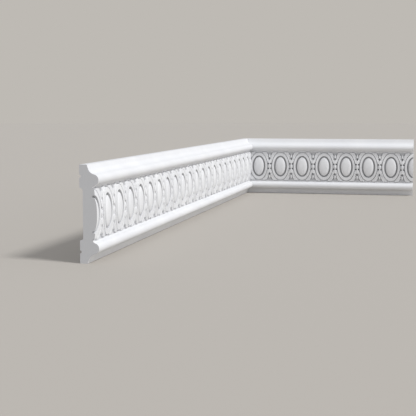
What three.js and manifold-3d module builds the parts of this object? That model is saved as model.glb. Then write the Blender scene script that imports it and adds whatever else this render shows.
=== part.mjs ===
// Flexible wall moulding: a tall band with a frieze of ovals and leaves between two ogee edges.
// Two cast lengths meet in a mitre at an inside corner, and both free ends are cut square.
// Millimetres, +Z up. The left length runs along Y and faces +X, the right one runs along X and
// faces -Y. The origin is under the middle of the pair, level with their undersides.
import * as THREE from 'three';
import * as BufferGeometryUtils from 'three/addons/utils/BufferGeometryUtils.js';
import Module from 'manifold-3d';

// The run: its height, and its lengths along the back, from the inside corner
const HEIGHT = 100;
const LEFT_LENGTH = 892.5;
const RIGHT_LENGTH = 310;
const MITRE_JOINT = 0.3; // glue line between the two mitred faces

// Edge profile, from the flat top or underside inwards: fascia, cove, torus, quirk
const EDGE_DEPTH = 8;
const FASCIA_WIDTH = 4;
const FASCIA_SLOPE = THREE.MathUtils.degToRad(18);
const COVE_RADIUS = 8.7;
const OGEE_SLOPE = THREE.MathUtils.degToRad(78); // where the hollow cove turns into the torus
const TORUS_RADIUS = 5.7;
const TORUS_RETURN = THREE.MathUtils.degToRad(-80); // slope at which the torus meets the quirk
const QUIRK_WIDTH = 1.6;
const COVE_STEPS = 4;
const TORUS_STEPS = 8;

// Back: a shallow recess between two flat lands, and a round groove for adhesive along each land
const BACK_LAND = 23.5;
const RECESS_DEPTH = 3.5;
const RECESS_CORNER = 2.75;
const GLUE_GROOVE_RADIUS = 1.65;
const BACK_STEPS = 3; // segments in a quarter turn of a back groove or corner

// Frieze: its face swells towards the middle, and the carving lies in that face
const FRIEZE_DEPTH = 17.75;
const FRIEZE_BULGE = 2.7;
const PITCH = 40; // from one oval to the next
const LEFT_FIRST_OVAL = 12; // first oval's centre, from the inside corner
const RIGHT_FIRST_OVAL = 31;

// Levels of the carving over the frieze's face
const DOME_RISE = 0.65;
const SHOULDER_LEVEL = -0.05;
const GROOVE_LEVEL = -2.3;
const CONTOUR_LEVEL = -0.9;
const LEAF_LEVEL = -0.15;
const GROUND_LEVEL = -1.2;
const EYELET_LEVEL = -1.9; // the pits beside the bead
const BEAD_RISE = 0.2;

// One repeat, in shares of the half pitch across and of the half frieze upwards. Each oval is given
// by its half width and half height.
const DOME_SHOULDER = [0.3, 0.41];
const GROOVE_OVAL = [0.475, 0.615];
const RING_INSIDE = [0.6, 0.69];
const RING_OUTSIDE = [0.765, 0.905];
const CONTOUR_OVAL = [0.8, 0.935];
const LEAF_INSIDE = [0.84, 0.965];
const OVAL_STEPS = 4; // segments in a quarter of an oval
const LEAF_SPAN = [0.25, 0.75]; // stretch of the contour that the leaf follows, from the oval's top

// Outline of the leaf and its stem, as [across from the oval's centre, up from the middle]
const LEAF_FOOT = [0.82, 0.22];
const STEM_FOOT = 0.22; // heights on the axis between two ovals
const STEM_TOP = 0.42;
const CLEFT_FOOT = 0.48;
const CLEFT_TOP = 0.8;
const LOBES = [[0.94, 0.775], [0.7, 0.9], [0.51, 0.955], [0.35, 0.949]];
const LOBE_FEET = [[0.725, 0.93], [0.515, 0.98], [0.315, 0.97]];
const BEAD_TOP = 0.12;
const BEAD_RIM = [[0.93, 0.088], [0.9, 0]];
const EYELET = [0.895, 0.16];
const NECK = 0.17;

const OVERCUT = 5; // how far the stock reaches past its cuts, and the cutting prism past the stock
const WELD = 1e-3;

const wasm = await Module();
wasm.setup();

const { lerp } = THREE.MathUtils;

// Half of the edge profile as [distance from the edge, depth], from the edge to the torus's far side.
function edgeProfile() {
  const coveDepth = EDGE_DEPTH + FASCIA_WIDTH * Math.tan(FASCIA_SLOPE);
  const coveCentre = [
    FASCIA_WIDTH - COVE_RADIUS * Math.sin(FASCIA_SLOPE),
    coveDepth + COVE_RADIUS * Math.cos(FASCIA_SLOPE),
  ];
  const points = [[0, EDGE_DEPTH]];
  for (let i = 0; i <= COVE_STEPS; i++) {
    const slope = lerp(FASCIA_SLOPE, OGEE_SLOPE, i / COVE_STEPS);
    points.push([
      coveCentre[0] + COVE_RADIUS * Math.sin(slope),
      coveCentre[1] - COVE_RADIUS * Math.cos(slope),
    ]);
  }
  const [torusStart, torusDepth] = points[points.length - 1];
  const torusCentre = [
    torusStart + TORUS_RADIUS * Math.sin(OGEE_SLOPE),
    torusDepth - TORUS_RADIUS * Math.cos(OGEE_SLOPE),
  ];
  for (let i = 1; i <= TORUS_STEPS; i++) {
    const slope = lerp(OGEE_SLOPE, TORUS_RETURN, i / TORUS_STEPS);
    points.push([
      torusCentre[0] - TORUS_RADIUS * Math.sin(slope),
      torusCentre[1] + TORUS_RADIUS * Math.cos(slope),
    ]);
  }
  return points;
}

const EDGE = edgeProfile();
const MIDDLE = HEIGHT / 2;
const HALF_FRIEZE = MIDDLE - EDGE[EDGE.length - 1][0] - QUIRK_WIDTH;
const HALF_PITCH = PITCH / 2;

// Upper half of the back as [depth, height over the middle], from the top edge downwards.
function backProfile() {
  const points = [[0, MIDDLE]];
  const grooveCentre = MIDDLE - BACK_LAND / 2;
  for (let i = 0; i <= 2 * BACK_STEPS; i++) {
    const angle = (Math.PI / 2) * (i / BACK_STEPS);
    points.push([
      GLUE_GROOVE_RADIUS * Math.sin(angle),
      grooveCentre + GLUE_GROOVE_RADIUS * Math.cos(angle),
    ]);
  }
  const recessEdge = MIDDLE - BACK_LAND;
  const corner = Math.min(RECESS_CORNER, 0.9 * RECESS_DEPTH);
  points.push([0, recessEdge]);
  for (let i = 0; i <= BACK_STEPS; i++) {
    const angle = (Math.PI / 2) * (i / BACK_STEPS);
    points.push([
      RECESS_DEPTH - corner + corner * Math.sin(angle),
      recessEdge - corner + corner * Math.cos(angle),
    ]);
  }
  return points;
}

// The section but for the frieze, as [depth, z], from the frieze's top edge round the back to its
// bottom edge.
function sectionOutline() {
  const friezeEdge = spot([1, 1], GROUND_LEVEL);
  const front = EDGE.map(([inset, depth]) => [depth, MIDDLE - inset]).reverse();
  const upper = [[friezeEdge.depth, friezeEdge.z], ...front, ...backProfile()];
  const lower = upper.map(([depth, z]) => [depth, -z]).reverse();
  return [...upper, ...lower].map(([depth, z]) => [depth, MIDDLE + z]);
}

// A spot in one quarter of a repeat, from its shares and its level: x from the oval's centre, z from
// the frieze's middle, and its depth in front of the back.
function spot([across, up], level) {
  return {
    x: across * HALF_PITCH,
    z: up * HALF_FRIEZE,
    depth: FRIEZE_DEPTH - FRIEZE_BULGE * up ** 2 + level,
  };
}

// A quarter of an oval, from its top point round to its side.
function oval([halfWidth, halfHeight], level) {
  return Array.from({ length: OVAL_STEPS + 1 }, (_, i) => {
    const angle = (Math.PI / 2) * (i / OVAL_STEPS);
    return spot([halfWidth * Math.sin(angle), halfHeight * Math.cos(angle)], level);
  });
}

// Triangles of a polygon of spots, all turned to face the viewer.
function fill(polygon) {
  const flat = polygon.map(({ x, z }) => new THREE.Vector2(x, z));
  return THREE.ShapeUtils.triangulateShape(flat, []).map((corners) => {
    const [a, b, c] = corners.map((i) => polygon[i]);
    const turn = (b.x - a.x) * (c.z - a.z) - (b.z - a.z) * (c.x - a.x);
    return turn > 0 ? [a, b, c] : [a, c, b];
  });
}

// The band between two rows with equally many spots.
function band(inner, outer) {
  return inner.slice(1).flatMap((next, i) => fill([inner[i], next, outer[i + 1], outer[i]]));
}

// The oval: a dome in a groove, inside a flat ring, with a thin contour line round it.
function ovalFaces(contour) {
  const crown = spot([0, 0], DOME_RISE);
  const shoulder = oval(DOME_SHOULDER, SHOULDER_LEVEL);
  const groove = oval(GROOVE_OVAL, GROOVE_LEVEL);
  const ringInside = oval(RING_INSIDE, 0);
  const ringOutside = oval(RING_OUTSIDE, 0);
  return [
    ...shoulder.slice(1).flatMap((next, i) => fill([crown, next, shoulder[i]])),
    ...band(shoulder, groove),
    ...band(groove, ringInside),
    ...band(ringInside, ringOutside),
    ...band(ringOutside, contour),
  ];
}

// The leaf that hugs the oval. It springs from the stem on the axis between two ovals, stands clear
// of its neighbour over a cleft, and ends over the oval's shoulder. Below the stem are half a bead
// and one eyelet.
function leafFaces(contour) {
  const [start, end] = LEAF_SPAN.map((share) => Math.round(share * OVAL_STEPS));
  const inside = oval(LEAF_INSIDE, LEAF_LEVEL).slice(start, end + 1);
  const foot = spot(LEAF_FOOT, LEAF_LEVEL);
  const stemFoot = spot([1, STEM_FOOT], LEAF_LEVEL);
  const stemTop = spot([1, STEM_TOP], LEAF_LEVEL);
  const cleftFoot = spot([1, CLEFT_FOOT], GROUND_LEVEL);
  const cleftTop = spot([1, CLEFT_TOP], GROUND_LEVEL);
  const lobes = LOBES.map((share) => spot(share, LEAF_LEVEL));
  const lobeFeet = [cleftTop, ...LOBE_FEET.map((share) => spot(share, GROUND_LEVEL))];
  const tip = lobes[lobes.length - 1];
  const tipFoot = lobeFeet[lobeFeet.length - 1];
  const friezeEdge = [spot([1, 1], GROUND_LEVEL), spot([0, 1], GROUND_LEVEL)];
  const beadCrown = spot([1, 0], BEAD_RISE);
  const beadRim = [[1, BEAD_TOP], ...BEAD_RIM].map((share) => spot(share, 0));
  const eyelet = spot(EYELET, EYELET_LEVEL);
  const neck = spot([1, NECK], GROUND_LEVEL);
  return [
    ...fill([...inside, foot, stemFoot, stemTop, ...lobes]),
    ...fill([stemTop, cleftFoot, lobes[0]]),
    ...fill([lobes[0], cleftFoot, cleftTop]),
    ...band(lobes, lobeFeet),
    ...fill([tip, inside[0], contour[start], tipFoot]),
    ...band(contour.slice(start, end + 1), inside),
    ...fill([contour[end], foot, inside[inside.length - 1]]),
    ...fill([...contour.slice(0, start + 1), ...lobeFeet.slice().reverse(), ...friezeEdge]),
    ...fill([beadCrown, ...beadRim]),
    ...fill([...contour.slice(end), eyelet, foot]),
    ...fill([contour[OVAL_STEPS], ...beadRim.slice().reverse(), neck, eyelet]),
    ...fill([eyelet, neck, stemFoot, foot]),
  ];
}

// Triangles of the upper right quarter of a repeat, each corner a spot.
function quarterRepeat() {
  const contour = oval(CONTOUR_OVAL, CONTOUR_LEVEL);
  return [...ovalFaces(contour), ...leafFaces(contour)];
}

const QUARTER = quarterRepeat();

// One repeat's triangles in a run's own frame, its oval centred on x = centre.
function repeatTriangles(centre) {
  const mirrors = [[1, 1], [-1, 1], [1, -1], [-1, -1]];
  return mirrors.flatMap(([sideways, upwards]) => QUARTER.map((corners) => {
    const placed = corners.map(({ x, z, depth }) =>
      [centre + sideways * x, -depth, MIDDLE + upwards * z]);
    return sideways * upwards > 0 ? placed : placed.reverse();
  }));
}

// The section of the frieze on the axis between two ovals, as [depth, z], from bottom to top.
function axisLine() {
  const onAxis = QUARTER.flat().filter(({ x, z }) =>
    Math.abs(x - HALF_PITCH) < WELD && z < HALF_FRIEZE - WELD);
  const upper = [...new Set(onAxis)].sort((a, b) => a.z - b.z);
  const lower = upper.slice(1).reverse();
  return [
    ...lower.map(({ depth, z }) => [depth, MIDDLE - z]),
    ...upper.map(({ depth, z }) => [depth, MIDDLE + z]),
  ];
}

// The long faces between two neighbouring lines of the section.
function stripTriangles([depthA, zA], [depthB, zB], from, to) {
  const a = [from, -depthA, zA];
  const b = [to, -depthA, zA];
  const c = [to, -depthB, zB];
  const d = [from, -depthB, zB];
  return [[a, b, c], [a, c, d]];
}

// The quirk's face joins the frieze's edge, with a vertex at every station, to the torus's plain line.
function quirkTriangles([friezeDepth, friezeZ], [torusDepth, torusZ], stations) {
  const half = Math.floor(stations.length / 2);
  const near = [stations[0], -torusDepth, torusZ];
  const far = [stations[stations.length - 1], -torusDepth, torusZ];
  const edge = stations.map((x) => [x, -friezeDepth, friezeZ]);
  const faces = edge.slice(1).map((next, i) => [edge[i], next, i < half ? near : far]);
  faces.push([near, edge[half], far]);
  return torusZ > friezeZ ? faces : faces.map((face) => face.reverse());
}

// The flat end of the uncut stock, on the axis between two ovals. facing is the sign of its normal.
function endTriangles(ring, x, facing) {
  const flat = ring.map(([depth, z]) => new THREE.Vector2(-depth, z));
  return THREE.ShapeUtils.triangulateShape(flat, []).map((corners) => {
    const [a, b, c] = corners.map((i) => flat[i]);
    const turn = (b.x - a.x) * (c.y - a.y) - (b.y - a.y) * (c.x - a.x);
    const face = [a, b, c].map((corner) => [x, corner.x, corner.y]);
    return turn * facing > 0 ? face : face.reverse();
  });
}

// A closed geometry as a solid that can be cut.
function solidFrom(geometry) {
  const bare = geometry.clone();
  bare.deleteAttribute('normal');
  bare.deleteAttribute('uv');
  const welded = BufferGeometryUtils.mergeVertices(bare, WELD);
  return new wasm.Manifold(new wasm.Mesh({
    numProp: 3,
    vertProperties: welded.attributes.position.array,
    triVerts: new Uint32Array(welded.index.array),
  }));
}

function geometryOf(solid) {
  const { vertProperties, triVerts } = solid.getMesh();
  const geometry = new THREE.BufferGeometry();
  geometry.setAttribute('position', new THREE.BufferAttribute(new Float32Array(vertProperties), 3));
  geometry.setIndex(new THREE.BufferAttribute(new Uint32Array(triVerts), 1));
  const faceted = geometry.toNonIndexed();
  faceted.computeVertexNormals();
  return faceted;
}

// Uncut stock in whole repeats, long enough to reach past both cuts. side is 1 where the run goes
// from the corner towards +X in its own frame, and -1 where it goes towards -X.
function stock(length, firstOval, side) {
  const first = Math.floor((-OVERCUT - firstOval) / PITCH + 0.5);
  const last = Math.ceil((length + OVERCUT - firstOval) / PITCH - 0.5);
  const centres = [];
  for (let i = first; i <= last; i++) centres.push(side * (firstOval + i * PITCH));
  centres.sort((a, b) => a - b);
  const stations = centres.flatMap((centre) => [centre - HALF_PITCH, centre]);
  stations.push(centres[centres.length - 1] + HALF_PITCH);
  const [from, to] = [stations[0], stations[stations.length - 1]];

  const outline = sectionOutline();
  const ring = [...outline, ...axisLine()];
  const lastLine = outline.length - 1;
  const triangles = [
    ...centres.flatMap(repeatTriangles),
    ...quirkTriangles(outline[0], outline[1], stations),
    ...quirkTriangles(outline[lastLine], outline[lastLine - 1], stations),
    ...endTriangles(ring, from, -1),
    ...endTriangles(ring, to, 1),
  ];
  for (let i = 1; i < lastLine - 1; i++) {
    triangles.push(...stripTriangles(outline[i], outline[i + 1], from, to));
  }
  const geometry = new THREE.BufferGeometry();
  geometry.setAttribute('position', new THREE.Float32BufferAttribute(triangles.flat(2), 3));
  return solidFrom(geometry);
}

// The space that one length may fill: mitred at the inside corner, square at the free end.
function keepPrism(length, side) {
  const jointShift = MITRE_JOINT / Math.SQRT2;
  const ahead = Math.max(FRIEZE_DEPTH, ...EDGE.map(([, depth]) => depth)) + OVERCUT;
  const plan = [
    [jointShift - OVERCUT, OVERCUT],
    [length, OVERCUT],
    [length, -ahead],
    [jointShift + ahead, -ahead],
  ];
  const shape = new THREE.Shape(plan.map(([x, y]) => new THREE.Vector2(side * x, y)));
  const prism = new THREE.ExtrudeGeometry(shape, { depth: HEIGHT + 2 * OVERCUT, bevelEnabled: false });
  prism.translate(0, 0, -OVERCUT);
  return solidFrom(prism);
}

const primedCast = new THREE.MeshStandardMaterial({
  name: 'primed_cast', color: 0xececee, roughness: 0.62, metalness: 0,
});

function runMesh(name, length, firstOval, side) {
  const solid = stock(length, firstOval, side).intersect(keepPrism(length, side));
  const mesh = new THREE.Mesh(geometryOf(solid), primedCast);
  mesh.name = name;
  return mesh;
}

const rightRun = runMesh('right_run', RIGHT_LENGTH, RIGHT_FIRST_OVAL, 1);
const leftRun = runMesh('left_run', LEFT_LENGTH, LEFT_FIRST_OVAL, -1);
leftRun.rotation.z = Math.PI / 2;

const moulding = new THREE.Group();
moulding.add(leftRun, rightRun);
moulding.position.set(-RIGHT_LENGTH / 2, LEFT_LENGTH / 2, 0);

export default moulding;
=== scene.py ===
"""Flexible wall moulding, dressed for its picture.

Two cast lengths of a tall frieze moulding meet in a mitre at an inside corner. Each length is one
closed mesh. The carving of one repeat is worked out on a fine grid and thinned where it is flat,
and the drawn section is swept behind it. Repeats are laid along the run, which is then sawn off at
both ends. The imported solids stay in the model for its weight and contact, and the cast meshes
stand in their place.

The script models in millimetres and hands over metres. A run's own frame has X along its back, the
carved face towards -Y and the middle of the frieze at Z = 0. A depth is a distance in front of the
back.
"""
from __future__ import annotations

import logging
import math
from dataclasses import dataclass, field
from enum import Enum

import bmesh
import bpy
from mathutils import Matrix, Vector

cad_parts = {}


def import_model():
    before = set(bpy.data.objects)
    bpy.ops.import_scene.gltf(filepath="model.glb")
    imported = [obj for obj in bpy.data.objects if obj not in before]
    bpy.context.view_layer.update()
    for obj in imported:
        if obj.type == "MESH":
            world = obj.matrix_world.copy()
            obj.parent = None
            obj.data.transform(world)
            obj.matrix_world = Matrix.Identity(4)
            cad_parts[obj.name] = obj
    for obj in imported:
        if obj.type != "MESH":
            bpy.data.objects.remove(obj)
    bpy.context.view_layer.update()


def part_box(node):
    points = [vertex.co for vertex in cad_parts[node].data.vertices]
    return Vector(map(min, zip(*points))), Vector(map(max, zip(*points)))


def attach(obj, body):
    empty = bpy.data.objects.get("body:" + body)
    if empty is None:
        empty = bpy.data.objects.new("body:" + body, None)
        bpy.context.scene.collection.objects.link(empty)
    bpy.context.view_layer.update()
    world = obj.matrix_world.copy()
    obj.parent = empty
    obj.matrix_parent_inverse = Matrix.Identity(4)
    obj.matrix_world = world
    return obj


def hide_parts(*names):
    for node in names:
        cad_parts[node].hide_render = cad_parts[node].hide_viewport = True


log = logging.getLogger("moulding")

MM = 0.001
TINY = 1e-6  # keeps a division clear of nought
ACROSS = Vector((1.0, 0.0, 0.0))  # the axis that a section is drawn round
COLOUR_A, COLOUR_B, COLOUR_OUT = 6, 7, 2  # a Mix node's colour sockets
NOISE_SPAN = {"From Min": 0.3, "From Max": 0.7}  # where most values of a noise lie
WAVE_PERIOD = math.tau / 20  # from band to band of a Wave texture, at a scale of one


def linear(hex_colour: str) -> tuple[float, float, float, float]:
    """Turn an sRGB hex colour into the linear colour that a shader takes.

    Args:
        hex_colour: six hex digits after a hash.

    Returns:
        Red, green and blue, linear, with an alpha of one.
    """
    channels = [int(hex_colour[i:i + 2], 16) / 255 for i in (1, 3, 5)]
    red, green, blue = (
        c / 12.92 if c <= 0.04045 else ((c + 0.055) / 1.055) ** 2.4 for c in channels
    )
    return red, green, blue, 1.0


def clamp(value: float, low: float = 0.0, high: float = 1.0) -> float:
    """Keep a value between two others."""
    return max(low, min(high, value))


def mix(a: float, b: float, share: float) -> float:
    """Go from a to b by a share."""
    return a + (b - a) * share


def inside(distance: float, softness: float) -> float:
    """Tell how far a point is inside an outline.

    Args:
        distance: signed distance from the outline, negative inside.
        softness: width of the rounded flank over which the answer changes.

    Returns:
        One inside and nought outside, with a smooth change between them.
    """
    share = clamp(0.5 - distance / softness)
    return share * share * (3 - 2 * share)


def blended(a: float, b: float, softness: float) -> float:
    """Join two signed distances with a rounded inner corner.

    Args:
        a: signed distance from the first outline.
        b: signed distance from the second outline.
        softness: size of the rounding.

    Returns:
        The signed distance from both outlines taken together.
    """
    share = clamp(0.5 + 0.5 * (b - a) / softness)
    return mix(b, a, share) - softness * share * (1 - share)


@dataclass(frozen=True)
class Ellipse:
    """An upright oval outline, by its centre and its half axes, in millimetres."""

    half_width: float
    half_height: float
    x: float = 0.0
    z: float = 0.0

    def share(self, x: float, z: float) -> float:
        """Give a point's distance from the centre as a share of the oval: one on the outline."""
        return math.hypot((x - self.x) / self.half_width, (z - self.z) / self.half_height)

    def distance(self, x: float, z: float) -> float:
        """Measure a point's distance from the outline.

        Args:
            x: the point's place across.
            z: the point's place upwards.

        Returns:
            The distance, negative inside and true near the outline.
        """
        share = self.share(x, z)
        if share < TINY:
            return -min(self.half_width, self.half_height)
        slope = math.hypot(
            (x - self.x) / self.half_width ** 2, (z - self.z) / self.half_height ** 2
        ) / share
        return (share - 1) / slope


@dataclass(frozen=True)
class Scored:
    """A fine line scored into the carving along a chain of points, in millimetres."""

    points: tuple[tuple[float, float], ...]
    width: float
    depth: float

    def cut(self, x: float, z: float) -> float:
        """Tell how deep the scored line is at a point.

        Args:
            x: the point's place across.
            z: the point's place upwards.

        Returns:
            The depth, which fades to nought beside the line.
        """
        nearest = min(
            self._from_stretch(x, z, start, end)
            for start, end in zip(self.points, self.points[1:])
        )
        return self.depth * math.exp(-((2 * nearest / self.width) ** 2))

    @staticmethod
    def _from_stretch(
        x: float, z: float, start: tuple[float, float], end: tuple[float, float]
    ) -> float:
        """Measure a point's distance from one straight stretch of the line.

        Args:
            x: the point's place across.
            z: the point's place upwards.
            start: where the stretch starts.
            end: where it ends.

        Returns:
            The distance.
        """
        run, rise = end[0] - start[0], end[1] - start[1]
        share = clamp(((x - start[0]) * run + (z - start[1]) * rise) / (run * run + rise * rise))
        return math.hypot(x - start[0] - share * run, z - start[1] - share * rise)


@dataclass(frozen=True)
class Carving:
    """The frieze's carving in one repeat, an oval with leaves round it, in millimetres.

    Its heights are levels over the frieze's own face. It is worked out in one quarter of a repeat,
    with x from the oval's centre and z from the frieze's middle, because the rest mirrors it.
    """

    pitch: float = 40.0
    face_depth: float = 17.75
    face_bulge: float = 2.7

    # The oval, from its dome outwards
    dome: Ellipse = Ellipse(9.3, 16.6)
    dome_foot: float = -1.6
    dome_rise: float = 2.2
    dome_flatness: float = 3.2  # 2 is a half ellipse, and more is flatter in the middle
    dome_rims: tuple[float, float] = (-0.03, 0.22)  # where its edge and the groove's floor lie
    groove_level: float = -3.3
    ring_inside: Ellipse = Ellipse(11.9, 19.0)
    ring_outside: Ellipse = Ellipse(15.4, 24.9)
    ring_dish: float = 0.3
    ring_dish_curve: float = 1.4  # 1 is a straight slope, and more is a rounder one
    contour: Ellipse = Ellipse(16.0, 25.5)
    contour_level: float = -2.4
    contour_width: float = 1.1  # its floor and its two flanks take up a third of it each

    # The leaf that hugs the oval: a band round it, and five lobes
    ground_level: float = -1.2
    leaf_level: float = -0.05
    leaf_band: Ellipse = Ellipse(17.7, 26.3)
    leaf_foot_height: float = 8.5
    leaf_tip_across: float = 6.9
    lobes: tuple[Ellipse, ...] = (
        Ellipse(2.7, 2.7, 8.8, 23.6),
        Ellipse(3.4, 3.4, 12.3, 22.3),
        Ellipse(3.0, 3.0, 14.5, 19.3),
        Ellipse(2.9, 2.9, 15.1, 14.8),
        Ellipse(2.2, 2.2, 16.2, 11.0),
    )
    vein: Scored = Scored(((8.2, 25.6), (12.4, 22.0), (15.2, 17.0), (16.8, 12.6)), 0.8, 0.4)
    undercut_depth: float = 1.1  # the ground is carved a little deeper along the leaf
    undercut_width: float = 0.9
    notch: Ellipse = Ellipse(4.6, 4.0, 0.0, 22.6)  # deeper ground between two leaf tips
    notch_depth: float = 0.9
    notch_flank: float = 3.0

    # What stands on the axis between two ovals, with x from that axis
    stem: Ellipse = Ellipse(3.9, 4.3, 0.0, 9.5)
    neck: Ellipse = Ellipse(0.9, 2.2, 0.0, 5.0)
    bud: Ellipse = Ellipse(2.0, 5.6, 0.0, 16.4)
    bud_fillet: float = 1.0  # rounding of the inner corner between the stem and its bud
    neck_fillet: float = 0.6
    stem_level: float = -0.05
    stem_crown: float = 0.25
    gap_level: float = -1.9
    gap_width: float = 0.7
    gap_foot_height: float = 11.5
    gap_run_out: float = 3.0
    pit: Ellipse = Ellipse(1.15, 2.4, 0.0, 13.8)
    pit_level: float = -4.0
    bead: Ellipse = Ellipse(2.1, 3.5)
    bead_foot: float = -0.9
    bead_rise: float = 0.9
    eyelet: Ellipse = Ellipse(1.25, 1.2, 2.3, 4.4)
    eyelet_level: float = -4.2

    flank: float = 0.5  # width of a rounded edge, seen from the front
    border: float = 0.35  # plain strip of ground along the frieze's edge
    shade_from: float = 0.5  # depths under the face over which the painted shade in the recesses grows from nought to full
    shade_full: float = 4.0

    def depth(self, x: float, z: float, half_height: float) -> float:
        """Give the carved surface's depth at a point of the quarter.

        Args:
            x: distance from the oval's centre, along the run.
            z: height over the frieze's middle.
            half_height: half of the frieze's height.

        Returns:
            The depth, on a face that swells towards the frieze's middle.
        """
        height = self._leaf(x, z)
        height = self._axis(self.pitch / 2 - x, z, height)
        height = self._oval(x, z, height)
        plain = clamp((half_height - z) / self.border - 1)
        return self.face(z, half_height) + mix(self.ground_level, height, plain)

    def face(self, z: float, half_height: float) -> float:
        """Give the depth of the frieze's own face, which swells towards its middle."""
        return self.face_depth - self.face_bulge * (z / half_height) ** 2

    def recess(self, depth: float, z: float, half_height: float) -> float:
        """Tell how far a point of the surface lies down in the carving, which sets the painted
        shade there.

        Args:
            depth: the point's depth.
            z: height over the frieze's middle.
            half_height: half of the frieze's height.

        Returns:
            Nought on the carving's face and beside the frieze, and one in the deepest recesses.
        """
        if abs(z) > half_height:
            return 0.0
        below = self.face(z, half_height) - depth
        return clamp((below - self.shade_from) / (self.shade_full - self.shade_from))

    def on_rim(self, x: float, z: float, reach: float) -> tuple[float, float]:
        """Move a point of the quarter onto an oval's rim where one passes close by.

        Args:
            x: distance from the oval's centre, along the run.
            z: height over the frieze's middle.
            reach: how far a point may be moved.

        Returns:
            The point's new place, so that the rims come out even on a square grid.
        """
        flanks = (-self.flank / 2, self.flank / 2)
        rims = (
            (self.dome, self.dome_rims), (self.contour, (0.0,)),
            (self.ring_inside, flanks), (self.ring_outside, flanks),
        )
        for oval, offsets in rims:
            for offset in offsets:
                gap = oval.distance(x, z) - offset
                if abs(gap) < reach:
                    slope = Vector((x / oval.half_width ** 2, z / oval.half_height ** 2))
                    slope.normalize()
                    return x - gap * slope.x, z - gap * slope.y
        return x, z

    def _leaf(self, x: float, z: float) -> float:
        """Lay the leaf on the ground.

        Args:
            x: distance from the oval's centre, along the run.
            z: height over the frieze's middle.

        Returns:
            The level of the leaf or of the ground beside it.
        """
        outline = max(
            self.leaf_band.distance(x, z), self.leaf_foot_height - z, self.leaf_tip_across - x
        )
        for lobe in self.lobes:
            outline = blended(outline, lobe.distance(x, z), self.flank)
        beside = (outline - self.undercut_width / 2) / (self.undercut_width / 2)
        ground = self.ground_level - self.undercut_depth * math.exp(-beside * beside)
        in_notch = inside(self.notch.distance(self.pitch / 2 - x, z), self.notch_flank)
        ground -= self.notch_depth * in_notch
        height = mix(ground, self.leaf_level, inside(outline, self.flank))
        return height - self.vein.cut(x, z)

    def _axis(self, across: float, z: float, height: float) -> float:
        """Set the stem with its bud, the bead and the eyelets between two ovals.

        Args:
            across: distance from the axis between two ovals.
            z: height over the frieze's middle.
            height: level of what lies there so far.

        Returns:
            The new level.
        """
        body = blended(
            self.stem.distance(across, z), self.bud.distance(across, z), self.bud_fillet
        )
        body = blended(body, self.neck.distance(across, z), self.neck_fillet)
        gap = inside(abs(body - self.gap_width / 2) - self.gap_width / 2, self.flank)
        gap *= clamp((z - self.gap_foot_height) / self.gap_run_out)
        height = mix(height, min(height, self.gap_level), gap)
        crown = self.stem_crown * clamp(1 - (across / self.bud.half_width) ** 2)
        height = mix(height, self.stem_level + crown, inside(body, self.flank))
        height = mix(height, self.pit_level, inside(self.pit.distance(across, z), self.flank))
        share = self.bead.share(across, z)
        if share < 1:
            height = max(height, self.bead_foot + self.bead_rise * math.sqrt(1 - share * share))
        return mix(height, self.eyelet_level, inside(self.eyelet.distance(across, z), self.flank))

    def _oval(self, x: float, z: float, height: float) -> float:
        """Cut the contour line, and set the ring, its groove and the dome inside it.

        Args:
            x: distance from the oval's centre, along the run.
            z: height over the frieze's middle.
            height: level of what lies there so far.

        Returns:
            The new level.
        """
        third = self.contour_width / 3
        line = abs(self.contour.distance(x, z)) - third
        height = mix(height, self.contour_level, inside(line, third))
        outer = self.ring_outside.distance(x, z)
        inner = self.ring_inside.distance(x, z)
        across_ring = clamp(inner / max(inner - outer, TINY))
        dish = -self.ring_dish * (1 - across_ring) ** self.ring_dish_curve
        height = mix(height, dish, inside(outer, self.flank))
        share = self.dome.share(x, z)
        floor = self.groove_level
        if share < 1:
            swell = math.sqrt(1 - share ** self.dome_flatness)
            floor = max(floor, self.dome_foot + self.dome_rise * swell)
        return mix(height, floor, inside(inner, self.flank))


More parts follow.
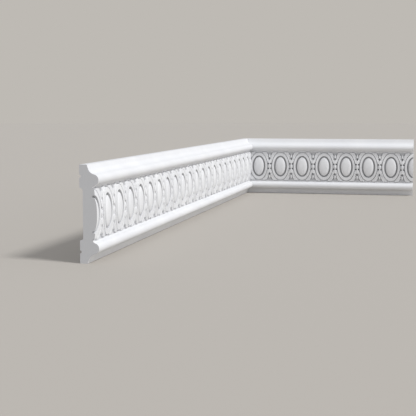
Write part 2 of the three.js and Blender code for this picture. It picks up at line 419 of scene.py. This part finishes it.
class SectionPen:
    """Draws one line of edges in a bmesh, in the plane across the run."""

    def __init__(self, mesh: bmesh.types.BMesh, x: float, depth: float, height: float) -> None:
        """Set the pen down.

        Args:
            mesh: the bmesh that takes the line.
            x: place of the section along the run.
            depth: depth of the line's first point.
            height: its height over the middle.
        """
        self.mesh = mesh
        self.x = x
        self.tip = bmesh.ops.create_vert(mesh, co=self.at(depth, height))["vert"][0]

    def at(self, depth: float, height: float) -> Vector:
        """Give a point of the section in the run's own frame."""
        return Vector((self.x, -depth, height))

    def line(self, depth: float, height: float) -> None:
        """Draw a straight line to a point."""
        self._line_to(self.at(depth, height))

    def arc(self, depth: float, height: float, turn: float, steps: int) -> None:
        """Draw an arc round a centre.

        Args:
            depth: the centre's depth.
            height: the centre's height over the middle.
            turn: angle in radians, positive from -Z towards -Y.
            steps: number of straight pieces.
        """
        self._arc_round(self.at(depth, height), turn, steps)

    def rounded(
        self, corner: tuple[float, float], after: tuple[float, float], radius: float, steps: int
    ) -> None:
        """Draw a line towards a corner and round the corner off.

        Args:
            corner: depth and height of the corner.
            after: depth and height of the point that the line makes for after the corner.
            radius: radius of the round.
            steps: number of straight pieces in it.
        """
        peak = self.at(*corner)
        before = (peak - self.tip.co).normalized()
        ahead = (self.at(*after) - peak).normalized()
        turn = math.atan2(ACROSS.dot(before.cross(ahead)), before.dot(ahead))
        self._line_to(peak - before * radius * math.tan(abs(turn) / 2))
        centre = self.tip.co + ACROSS.cross(before) * math.copysign(radius, turn)
        self._arc_round(centre, turn, steps)

    def _line_to(self, point: Vector) -> None:
        """Draw a straight line.

        Args:
            point: where it ends, in the run's own frame.
        """
        drawn = bmesh.ops.extrude_vert_indiv(self.mesh, verts=[self.tip])
        self.tip = drawn["verts"][0]
        self.tip.co = point

    def _arc_round(self, centre: Vector, turn: float, steps: int) -> None:
        """Draw an arc.

        Args:
            centre: the arc's centre, in the run's own frame.
            turn: angle in radians, positive from -Z towards -Y.
            steps: number of straight pieces.
        """
        drawn = bmesh.ops.spin(
            self.mesh, geom=[self.tip], cent=centre, axis=ACROSS, angle=turn, steps=steps
        )
        self.tip = next(
            part for part in drawn["geom_last"] if isinstance(part, bmesh.types.BMVert)
        )


@dataclass(frozen=True)
class Section:
    """The moulding's section but for the frieze, the same above and below its middle, in mm."""

    edge_depth: float = 8.0
    fascia_width: float = 4.0
    fascia_slope: float = math.radians(18)
    cove_radius: float = 8.7
    ogee_slope: float = math.radians(78)
    torus_radius: float = 5.7
    torus_return: float = math.radians(-80)
    quirk_width: float = 1.6
    edge_round: float = 0.5
    back_land: float = 23.5
    recess_depth: float = 3.5
    recess_lip: float = 0.35
    recess_corner: float = 2.75
    glue_groove_radius: float = 1.65
    arc_steps: int = 12
    round_steps: int = 3
    lip_steps: int = 2
    seam: float = 1e-3  # within which a point and its mirror image are one

    def torus_centre(self) -> tuple[float, float]:
        """Find the centre of the torus.

        Returns:
            Its distance from the moulding's edge, and its depth.
        """
        inset, depth = self.cove_centre()
        reach = self.cove_radius + self.torus_radius
        return (
            inset + reach * math.sin(self.ogee_slope),
            depth - reach * math.cos(self.ogee_slope),
        )

    def cove_centre(self) -> tuple[float, float]:
        """Find the centre of the cove.

        Returns:
            Its distance from the moulding's edge, and its depth.
        """
        depth = self.edge_depth + self.fascia_width * math.tan(self.fascia_slope)
        return (
            self.fascia_width - self.cove_radius * math.sin(self.fascia_slope),
            depth + self.cove_radius * math.cos(self.fascia_slope),
        )

    def frieze_inset(self) -> float:
        """Give the distance from the moulding's edge to the frieze's edge."""
        inset, _ = self.torus_centre()
        return inset - self.torus_radius * math.sin(self.torus_return) + self.quirk_width

    def draw(self, mesh: bmesh.types.BMesh, x: float, half: float, frieze_depth: float) -> None:
        """Draw the section as a line of edges, from the frieze's upper edge round to its lower one.

        Args:
            mesh: the bmesh that takes the line.
            x: place of the section along the run.
            half: half of the moulding's height.
            frieze_depth: depth of the frieze's ground at its edge.
        """
        torus_inset, torus_depth = self.torus_centre()
        cove_inset, cove_depth = self.cove_centre()
        pen = SectionPen(mesh, x, frieze_depth, half - self.frieze_inset())
        pen.line(
            torus_depth + self.torus_radius * math.cos(self.torus_return),
            half - torus_inset + self.torus_radius * math.sin(self.torus_return),
        )
        pen.arc(
            torus_depth, half - torus_inset, self.torus_return - self.ogee_slope,
            2 * self.arc_steps,
        )
        pen.arc(
            cove_depth, half - cove_inset, self.ogee_slope - self.fascia_slope, self.arc_steps
        )
        pen.rounded((self.edge_depth, half), (0, half), self.edge_round, self.round_steps)
        pen.rounded((0, half), (0, 0), self.edge_round, self.round_steps)

        groove = half - self.back_land / 2
        pen.line(0, groove + self.glue_groove_radius)
        pen.arc(0, groove, math.pi, self.arc_steps)
        recess = half - self.back_land
        pen.rounded(
            (0, recess), (self.recess_depth, recess), self.recess_lip, self.lip_steps
        )
        pen.rounded(
            (self.recess_depth, recess), (self.recess_depth, 0), self.recess_corner,
            self.arc_steps // 2,
        )
        pen.line(self.recess_depth, 0)
        bmesh.ops.mirror(
            mesh, geom=mesh.verts[:] + mesh.edges[:], axis="Z", merge_dist=self.seam
        )


class Side(Enum):
    """Which way a run goes from the inside corner in its own frame."""

    RIGHT = 1
    LEFT = -1


class Repeat:
    """One repeat of the moulding: the carving over its pitch, and the section swept behind it."""

    GRID_STEP = 0.28  # mm between two points of the fine grid
    RIM_REACH = 0.4  # share of a step that a point may move so that it lies on a rim
    QUARTER_TRIANGLES = 1950
    WELD = 0.01  # mm within which two points are one
    STATION_DIGITS = 3  # decimals of a millimetre in a place along the run

    def __init__(self, carving: Carving, section: Section, height: float) -> None:
        """Take the sizes of the repeat.

        Args:
            carving: the carving's sizes.
            section: the section's sizes.
            height: the moulding's height, in millimetres.
        """
        self.carving = carving
        self.section = section
        self.half = height / 2
        self.half_frieze = self.half - section.frieze_inset()

    def build(self) -> bpy.types.Mesh:
        """Make the repeat as a mesh that is open at its two sides.

        Returns:
            The mesh, centred on its oval.
        """
        mesh = bmesh.new()
        mesh.from_mesh(self._quarter())
        for axis in "XZ":
            geometry = mesh.verts[:] + mesh.edges[:] + mesh.faces[:]
            bmesh.ops.mirror(mesh, geom=geometry, axis=axis, merge_dist=self.WELD)
        stations = sorted({
            round(vert.co.x, self.STATION_DIGITS) for vert in mesh.verts
            if abs(vert.co.z - self.half_frieze) < self.WELD
        })
        swept = self._swept(stations)
        mesh.from_mesh(swept)
        bpy.data.meshes.remove(swept)
        bmesh.ops.remove_doubles(mesh, verts=mesh.verts[:], dist=self.WELD)
        result = bpy.data.meshes.new("repeat")
        mesh.to_mesh(result)
        mesh.free()
        return result

    def recess(self, spot: Vector) -> float:
        """Tell how far a point lies down in the carving: nought at its face, one at its deepest.

        Args:
            spot: a point of the run, in the run's own frame.

        Returns:
            The share, which is nought on the back and on the sawn faces behind the carving.
        """
        if -spot.y < self.carving.face_depth / 2:
            return 0.0
        return self.carving.recess(-spot.y, spot.z, self.half_frieze)

    def _swept(self, stations: list[float]) -> bpy.types.Mesh:
        """Sweep the section along the run.

        Args:
            stations: places where the frieze's border has points, so that both can be welded.

        Returns:
            The swept mesh, open along the frieze and at its two sides.
        """
        sweep = bmesh.new()
        edge_depth = self.carving.depth(0, self.half_frieze, self.half_frieze)
        self.section.draw(sweep, stations[0], self.half, edge_depth)
        line = sweep.edges[:]
        for start, end in zip(stations, stations[1:]):
            drawn = bmesh.ops.extrude_edge_only(sweep, edges=line)["geom"]
            moved = [part for part in drawn if isinstance(part, bmesh.types.BMVert)]
            bmesh.ops.translate(sweep, verts=moved, vec=(end - start, 0, 0))
            line = [part for part in drawn if isinstance(part, bmesh.types.BMEdge)]
        bmesh.ops.triangulate(sweep, faces=sweep.faces[:])
        result = bpy.data.meshes.new("swept_section")
        sweep.to_mesh(result)
        sweep.free()
        return result

    def _quarter(self) -> bpy.types.Mesh:
        """Raise the carving on a fine grid, and thin the mesh where it is flat.

        Returns:
            The upper right quarter of a repeat's frieze.
        """
        width = self.carving.pitch / 2
        height = self.half_frieze
        grid = bmesh.new()
        bmesh.ops.create_grid(
            grid,
            x_segments=round(width / self.GRID_STEP),
            y_segments=round(height / self.GRID_STEP),
            size=0.5,
        )
        for vert in grid.verts:
            x, z = (vert.co.x + 0.5) * width, (vert.co.y + 0.5) * height
            x, z = self.carving.on_rim(x, z, self.RIM_REACH * self.GRID_STEP)
            vert.co = (x, -self.carving.depth(x, z, height), z)
        bmesh.ops.triangulate(grid, faces=grid.faces[:])
        fine = bpy.data.meshes.new("fine_quarter")
        grid.to_mesh(fine)
        grid.free()
        holder = bpy.data.objects.new("fine_quarter", fine)
        bpy.context.scene.collection.objects.link(holder)
        thinner = holder.modifiers.new("thin", "DECIMATE")
        thinner.ratio = self.QUARTER_TRIANGLES / len(fine.polygons)
        graph = bpy.context.evaluated_depsgraph_get()
        thin = bpy.data.meshes.new_from_object(holder.evaluated_get(graph))
        bpy.data.objects.remove(holder)
        bpy.data.meshes.remove(fine)
        self._square_up(thin, width, height)
        return thin

    def _square_up(self, quarter: bpy.types.Mesh, width: float, height: float) -> None:
        """Put the thinned quarter's border back on its four sides exactly.

        Args:
            quarter: the mesh, changed in place.
            width: the quarter's width.
            height: the quarter's height.
        """
        mesh = bmesh.new()
        mesh.from_mesh(quarter)
        tolerance = self.GRID_STEP / 2
        for vert in mesh.verts:
            if not vert.is_boundary:
                continue
            for place, side in ((0, 0.0), (0, width), (2, 0.0), (2, height)):
                if abs(vert.co[place] - side) < tolerance:
                    vert.co[place] = side
            if abs(vert.co.z - height) < self.WELD:
                vert.co.y = -self.carving.depth(0, height, height)
        mesh.to_mesh(quarter)
        mesh.free()


@dataclass
class Run:
    """One cast length of the moulding, mitred at the corner and sawn square at its free end."""

    name: str
    node: str
    side: Side
    length: float
    first_oval: float  # from the inside corner to the first oval's centre, in mm
    place: Matrix
    mitre_joint: float = 0.3
    overcut: float = 5.0  # how far the stock reaches past its cuts, in mm
    saw_tolerance: float = 1e-4
    crisp_angle: float = math.radians(40)  # an edge that turns by more is not smoothed over
    cut_face: int = field(default=1, init=False)  # material index of the sawn faces

    def build(self, repeat: Repeat, finishes: list[bpy.types.Material]) -> bpy.types.Object:
        """Cast the run, saw its ends and put it in its place.

        Args:
            repeat: the repeat that the run is made of.
            finishes: the materials of the primed skin and of the sawn core.

        Returns:
            The finished piece.
        """
        mesh = self._cast(repeat)
        away = self.side.value
        shift = self.mitre_joint / math.sqrt(2)
        self._saw(mesh, Vector((away * self.length, 0, 0)), Vector((away, 0, 0)))
        self._saw(mesh, Vector((away * shift, 0, 0)), Vector((-away, -1, 0)).normalized())
        self._smooth(mesh)
        # How deep each point lies in the carving, which the primer's colour turns into painted
        # shade
        recess = mesh.verts.layers.float.new("recess")
        for vert in mesh.verts:
            vert[recess] = repeat.recess(vert.co)
        triangles = sum(len(face.verts) - 2 for face in mesh.faces)
        open_edges = sum(1 for edge in mesh.edges if len(edge.link_faces) != 2)
        bmesh.ops.transform(mesh, matrix=self.place, verts=mesh.verts[:])
        result = bpy.data.meshes.new(self.name)
        mesh.to_mesh(result)
        mesh.free()
        for finish in finishes:
            result.materials.append(finish)
        piece = bpy.data.objects.new(self.name, result)
        bpy.context.scene.collection.objects.link(piece)
        crisp = piece.modifiers.new("crisp_flats", "WEIGHTED_NORMAL")
        crisp.keep_sharp = True
        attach(piece, "root")
        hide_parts(self.node)
        log.info("%s: %d triangles, %d open edges", self.name, triangles, open_edges)
        return piece

    def _cast(self, repeat: Repeat) -> bmesh.types.BMesh:
        """Lay whole repeats side by side, past both ends of the run.

        Args:
            repeat: the repeat that the run is made of.

        Returns:
            A tube with the moulding's section, open at both ends.
        """
        pitch = repeat.carving.pitch
        first = math.floor((-self.overcut - self.first_oval) / pitch + 0.5)
        last = math.ceil((self.length + self.overcut - self.first_oval) / pitch - 0.5)
        module = repeat.build()
        mesh = bmesh.new()
        for number in range(first, last + 1):
            known = len(mesh.verts)
            mesh.from_mesh(module)
            mesh.verts.ensure_lookup_table()
            centre = self.side.value * (self.first_oval + number * pitch)
            bmesh.ops.translate(mesh, verts=mesh.verts[known:], vec=(centre, 0, 0))
        bpy.data.meshes.remove(module)
        bmesh.ops.remove_doubles(mesh, verts=mesh.verts[:], dist=repeat.WELD)
        return mesh

    def _saw(self, mesh: bmesh.types.BMesh, point: Vector, outwards: Vector) -> None:
        """Cut the run with a plane and close the cut.

        Args:
            mesh: the run, changed in place.
            point: a point of the plane.
            outwards: the plane's normal, towards the side that falls off.
        """
        geometry = mesh.verts[:] + mesh.edges[:] + mesh.faces[:]
        cut = bmesh.ops.bisect_plane(
            mesh, geom=geometry, dist=self.saw_tolerance, plane_co=point, plane_no=outwards,
            clear_outer=True,
        )["geom_cut"]
        rim = [part for part in cut if isinstance(part, bmesh.types.BMEdge)]
        filled = bmesh.ops.triangle_fill(
            mesh, edges=rim, use_beauty=True, use_dissolve=False, normal=outwards
        )["geom"]
        for part in filled:
            if isinstance(part, bmesh.types.BMFace):
                part.material_index = self.cut_face

    def _smooth(self, mesh: bmesh.types.BMesh) -> None:
        """Smooth the shading, but for the sawn faces and the crisp edges.

        Args:
            mesh: the run, changed in place.
        """
        bmesh.ops.recalc_face_normals(mesh, faces=mesh.faces[:])
        for face in mesh.faces:
            face.smooth = face.material_index != self.cut_face
        for edge in mesh.edges:
            sawn = any(face.material_index == self.cut_face for face in edge.link_faces)
            edge.smooth = not sawn and edge.calc_face_angle(0.0) < self.crisp_angle


class Finish:
    """A material that is built node by node."""

    def __init__(self, name: str) -> None:
        """Start the material.

        Args:
            name: the material's name.
        """
        self.material = bpy.data.materials.new(name)
        self.material.use_nodes = True
        self.tree = self.material.node_tree
        self.tree.nodes.clear()

    def add(
        self, kind: str, links: dict[str | int, object] | None = None, **settings: object
    ) -> bpy.types.Node:
        """Add a node.

        Args:
            kind: the node's type.
            links: what each input takes, an output to link or a plain value, by the input's name
                or its place.
            settings: the node's own properties.

        Returns:
            The new node.
        """
        node = self.tree.nodes.new(kind)
        for setting, value in settings.items():
            setattr(node, setting, value)
        for socket, value in (links or {}).items():
            if isinstance(value, bpy.types.NodeSocket):
                self.tree.links.new(value, node.inputs[socket])
            else:
                node.inputs[socket].default_value = value
        return node


@dataclass(frozen=True)
class PrimedSkin:
    """White factory primer, sprayed on a polyurethane casting.

    It is matt with a slight sheen, a little cool, and as smooth as the mould but for the primer's
    fine orange peel. A second, broader unevenness stands for the soft casting's own surface. The
    deep recesses of the carving are painted darker, as painted shade.
    """

    light: str = "#E5E6E8"
    dark: str = "#DFE0E3"
    thin: str = "#909194"  # painted shade, at full strength in the deepest recesses
    roughness: tuple[float, float] = (0.46, 0.6)
    ior: float = 1.46

    # Sizes and heights of the patterns, in millimetres
    blotch: float = 45.0
    sheen_patch: float = 4.0
    peel: float = 0.9  # drawn coarser than sprayed primer so that it shows at all
    peel_height: float = 0.02
    sway: float = 14.0
    sway_height: float = 0.06

    def make(self) -> bpy.types.Material:
        """Build the material's nodes.

        Returns:
            The material, which reads the depth of a recess from the mesh's own attribute and
            darkens its colour there as painted shade.
        """
        finish = Finish("primed_polyurethane")
        spot = finish.add("ShaderNodeTexCoord").outputs["Object"]
        patterns = ((self.blotch, 2), (self.sheen_patch, 2), (self.peel, 3), (self.sway, 2))
        blotches, sheen, peel, sway = (
            finish.add(
                "ShaderNodeTexNoise",
                {"Vector": spot, "Scale": 1 / (size * MM), "Detail": detail},
            ).outputs["Fac"]
            for size, detail in patterns
        )
        tone, roughness = (
            finish.add(
                "ShaderNodeMapRange",
                {"Value": noise, **NOISE_SPAN, "To Min": low, "To Max": high},
            ).outputs["Result"]
            for noise, (low, high) in ((blotches, (0, 1)), (sheen, self.roughness))
        )
        colour = finish.add(
            "ShaderNodeMix",
            {"Factor": tone, COLOUR_A: linear(self.light), COLOUR_B: linear(self.dark)},
            data_type="RGBA",
        ).outputs[COLOUR_OUT]
        # Painted shade: the colour darkens towards the deepest recesses of the carving
        recess = finish.add("ShaderNodeAttribute", attribute_name="recess").outputs["Fac"]
        recess_shaded_colour = finish.add(
            "ShaderNodeMix",
            {"Factor": recess, COLOUR_A: colour, COLOUR_B: linear(self.thin)},
            data_type="RGBA",
        ).outputs[COLOUR_OUT]
        peeled = finish.add(
            "ShaderNodeBump", {"Height": peel, "Distance": self.peel_height * MM}
        ).outputs["Normal"]
        uneven = finish.add(
            "ShaderNodeBump",
            {"Height": sway, "Distance": self.sway_height * MM, "Normal": peeled},
        ).outputs["Normal"]
        skin = finish.add(
            "ShaderNodeBsdfPrincipled",
            {"Base Color": recess_shaded_colour, "Roughness": roughness, "IOR": self.ior, "Normal": uneven},
        )
        finish.add("ShaderNodeOutputMaterial", {"Surface": skin.outputs["BSDF"]})
        return finish.material


@dataclass(frozen=True)
class SawnCore:
    """The bare core of the casting where it is sawn: dense polyurethane with fine closed cells.

    The saw leaves it dull, greyer than the primer, with open cells and faint waves across.
    """

    light: str = "#C9CACC"
    dark: str = "#C1C2C5"
    roughness: float = 0.85
    ior: float = 1.46

    # Sizes and heights of the patterns, in millimetres
    cell: float = 0.5  # drawn coarser than the real cells so that they show at all
    cell_depth: float = 0.012
    saw_wave: float = 6.91
    saw_wave_height: float = 0.006
    saw_wave_wander: float = 2.0  # how far the waves stray, as the texture's distortion

    def make(self) -> bpy.types.Material:
        """Build the material's nodes.

        Returns:
            The material.
        """
        finish = Finish("sawn_polyurethane")
        spot = finish.add("ShaderNodeTexCoord").outputs["Object"]
        cells = finish.add(
            "ShaderNodeTexVoronoi", {"Vector": spot, "Scale": 1 / (self.cell * MM)}
        ).outputs["Distance"]
        waves = finish.add(
            "ShaderNodeTexWave",
            {
                "Vector": spot,
                "Scale": WAVE_PERIOD / (self.saw_wave * MM),
                "Distortion": self.saw_wave_wander,
            },
            bands_direction="Z",
        ).outputs["Fac"]
        colour = finish.add(
            "ShaderNodeMix",
            {"Factor": cells, COLOUR_A: linear(self.dark), COLOUR_B: linear(self.light)},
            data_type="RGBA",
        ).outputs[COLOUR_OUT]
        pores = finish.add(
            "ShaderNodeBump", {"Height": cells, "Distance": self.cell_depth * MM}
        ).outputs["Normal"]
        sawn = finish.add(
            "ShaderNodeBump",
            {"Height": waves, "Distance": self.saw_wave_height * MM, "Normal": pores},
        ).outputs["Normal"]
        core = finish.add(
            "ShaderNodeBsdfPrincipled",
            {"Base Color": colour, "Roughness": self.roughness, "IOR": self.ior, "Normal": sawn},
        )
        finish.add("ShaderNodeOutputMaterial", {"Surface": core.outputs["BSDF"]})
        return finish.material


@dataclass
class Studio:
    """A pale floor, a soft sky of light, a broad key light, two low fills, and the camera."""

    floor_radius: float = 9.0  # metres
    floor_segments: int = 96
    floor_colour: str = "#B4AFA8"
    floor_roughness: float = 0.9
    backdrop_colour: str = "#BEBAB4"
    sky_colour: str = "#FBFCFF"
    sky_light: float = 0.54
    key_power: float = 2.2
    key_from: Vector = field(default_factory=lambda: Vector((0.64, -0.19, 0.74)))
    key_softness: float = math.radians(14)
    front_power: float = 0.28
    front_from: Vector = field(default_factory=lambda: Vector((0.34, -0.93, 0.12)))
    side_power: float = 0.55
    side_from: Vector = field(default_factory=lambda: Vector((0.97, -0.22, 0.07)))
    fill_softness: float = math.radians(40)
    camera_place: Vector = field(default_factory=lambda: Vector((0.1910, -1.39535, 0.1560)))
    camera_yaw: float = math.radians(12.697)
    camera_pitch: float = math.radians(5.683)
    camera_lens: float = 86.81
    camera_sensor: float = 36.0

    def build(self) -> None:
        """Put up the floor, the lights and the camera."""
        self._floor()
        self._sky()
        self._lamp("key", self.key_power, self.key_from, self.key_softness)
        self._lamp("front_fill", self.front_power, self.front_from, self.fill_softness)
        self._lamp("side_fill", self.side_power, self.side_from, self.fill_softness)
        self._camera()
        view = bpy.context.scene.view_settings
        view.view_transform = "Standard"
        view.look = "None"

    @staticmethod
    def _lamp(name: str, power: float, source: Vector, softness: float) -> None:
        """Put up a distant lamp.

        Args:
            name: the lamp's name.
            power: its strength, in watts per square metre.
            source: direction from the moulding to the lamp.
            softness: angle that the lamp fills, in radians.
        """
        light = bpy.data.lights.new(name, "SUN")
        light.energy = power
        light.angle = softness
        lamp = bpy.data.objects.new(name, light)
        lamp.rotation_euler = source.to_track_quat("Z", "Y").to_euler()
        bpy.context.scene.collection.objects.link(lamp)

    def _floor(self) -> None:
        """Lay a round matt floor under the moulding."""
        mesh = bmesh.new()
        bmesh.ops.create_circle(
            mesh, cap_ends=True, segments=self.floor_segments, radius=self.floor_radius
        )
        shape = bpy.data.meshes.new("floor")
        mesh.to_mesh(shape)
        mesh.free()
        finish = Finish("matt_floor_paint")
        paint = finish.add(
            "ShaderNodeBsdfPrincipled",
            {"Base Color": linear(self.floor_colour), "Roughness": self.floor_roughness},
        )
        finish.add("ShaderNodeOutputMaterial", {"Surface": paint.outputs["BSDF"]})
        shape.materials.append(finish.material)
        floor = bpy.data.objects.new("floor", shape)
        bpy.context.scene.collection.objects.link(floor)

    def _sky(self) -> None:
        """Fill the studio with soft white light, before a backdrop in the floor's own tone."""
        world = bpy.data.worlds.new("studio")
        world.use_nodes = True
        tree = world.node_tree
        light = tree.nodes["Background"]
        light.inputs["Color"].default_value = linear(self.sky_colour)
        light.inputs["Strength"].default_value = self.sky_light
        backdrop = tree.nodes.new("ShaderNodeBackground")
        backdrop.inputs["Color"].default_value = linear(self.backdrop_colour)
        seen = tree.nodes.new("ShaderNodeLightPath")

        # A Mix Shader's two shader sockets share one name, so they go by their place
        either = tree.nodes.new("ShaderNodeMixShader")
        tree.links.new(seen.outputs["Is Camera Ray"], either.inputs["Fac"])
        tree.links.new(light.outputs["Background"], either.inputs[1])
        tree.links.new(backdrop.outputs["Background"], either.inputs[2])
        tree.links.new(either.outputs["Shader"], tree.nodes["World Output"].inputs["Surface"])
        bpy.context.scene.world = world

    def _camera(self) -> None:
        """Set up the camera where the picture was taken from."""
        lens = bpy.data.cameras.new("camera")
        lens.lens = self.camera_lens
        lens.sensor_width = self.camera_sensor
        camera = bpy.data.objects.new("camera", lens)
        camera.location = self.camera_place
        camera.rotation_euler = (math.pi / 2 - self.camera_pitch, 0, self.camera_yaw)
        bpy.context.scene.collection.objects.link(camera)
        bpy.context.scene.camera = camera


@dataclass
class Moulding:
    """The whole moulding: two lengths that meet at the inside corner."""

    left_first_oval: float = 12.0  # mm from the inside corner to the first oval's centre
    right_first_oval: float = 31.0

    def build(self) -> list[bpy.types.Object]:
        """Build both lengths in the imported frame.

        Returns:
            The two pieces.
        """
        left_low, left_high = (Vector(corner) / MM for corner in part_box("left_run"))
        _, right_high = (Vector(corner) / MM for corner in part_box("right_run"))
        corner = Vector((left_low.x, right_high.y, (left_low.z + left_high.z) / 2))
        metres = Matrix.Scale(MM, 4)
        to_corner = metres @ Matrix.Translation(corner)
        repeat = Repeat(Carving(), Section(), left_high.z - left_low.z)
        finishes = [PrimedSkin().make(), SawnCore().make()]
        runs = [
            Run(
                "left_cast_length", "left_run", Side.LEFT, corner.y - left_low.y,
                self.left_first_oval, to_corner @ Matrix.Rotation(math.pi / 2, 4, "Z"),
            ),
            Run(
                "right_cast_length", "right_run", Side.RIGHT, right_high.x - corner.x,
                self.right_first_oval, to_corner,
            ),
        ]
        return [run.build(repeat, finishes) for run in runs]


def main() -> None:
    """Build the moulding and its studio."""
    logging.basicConfig(level=logging.INFO, format="%(name)s: %(message)s")
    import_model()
    Moulding().build()
    Studio().build()


if __name__ == "__main__":
    main()
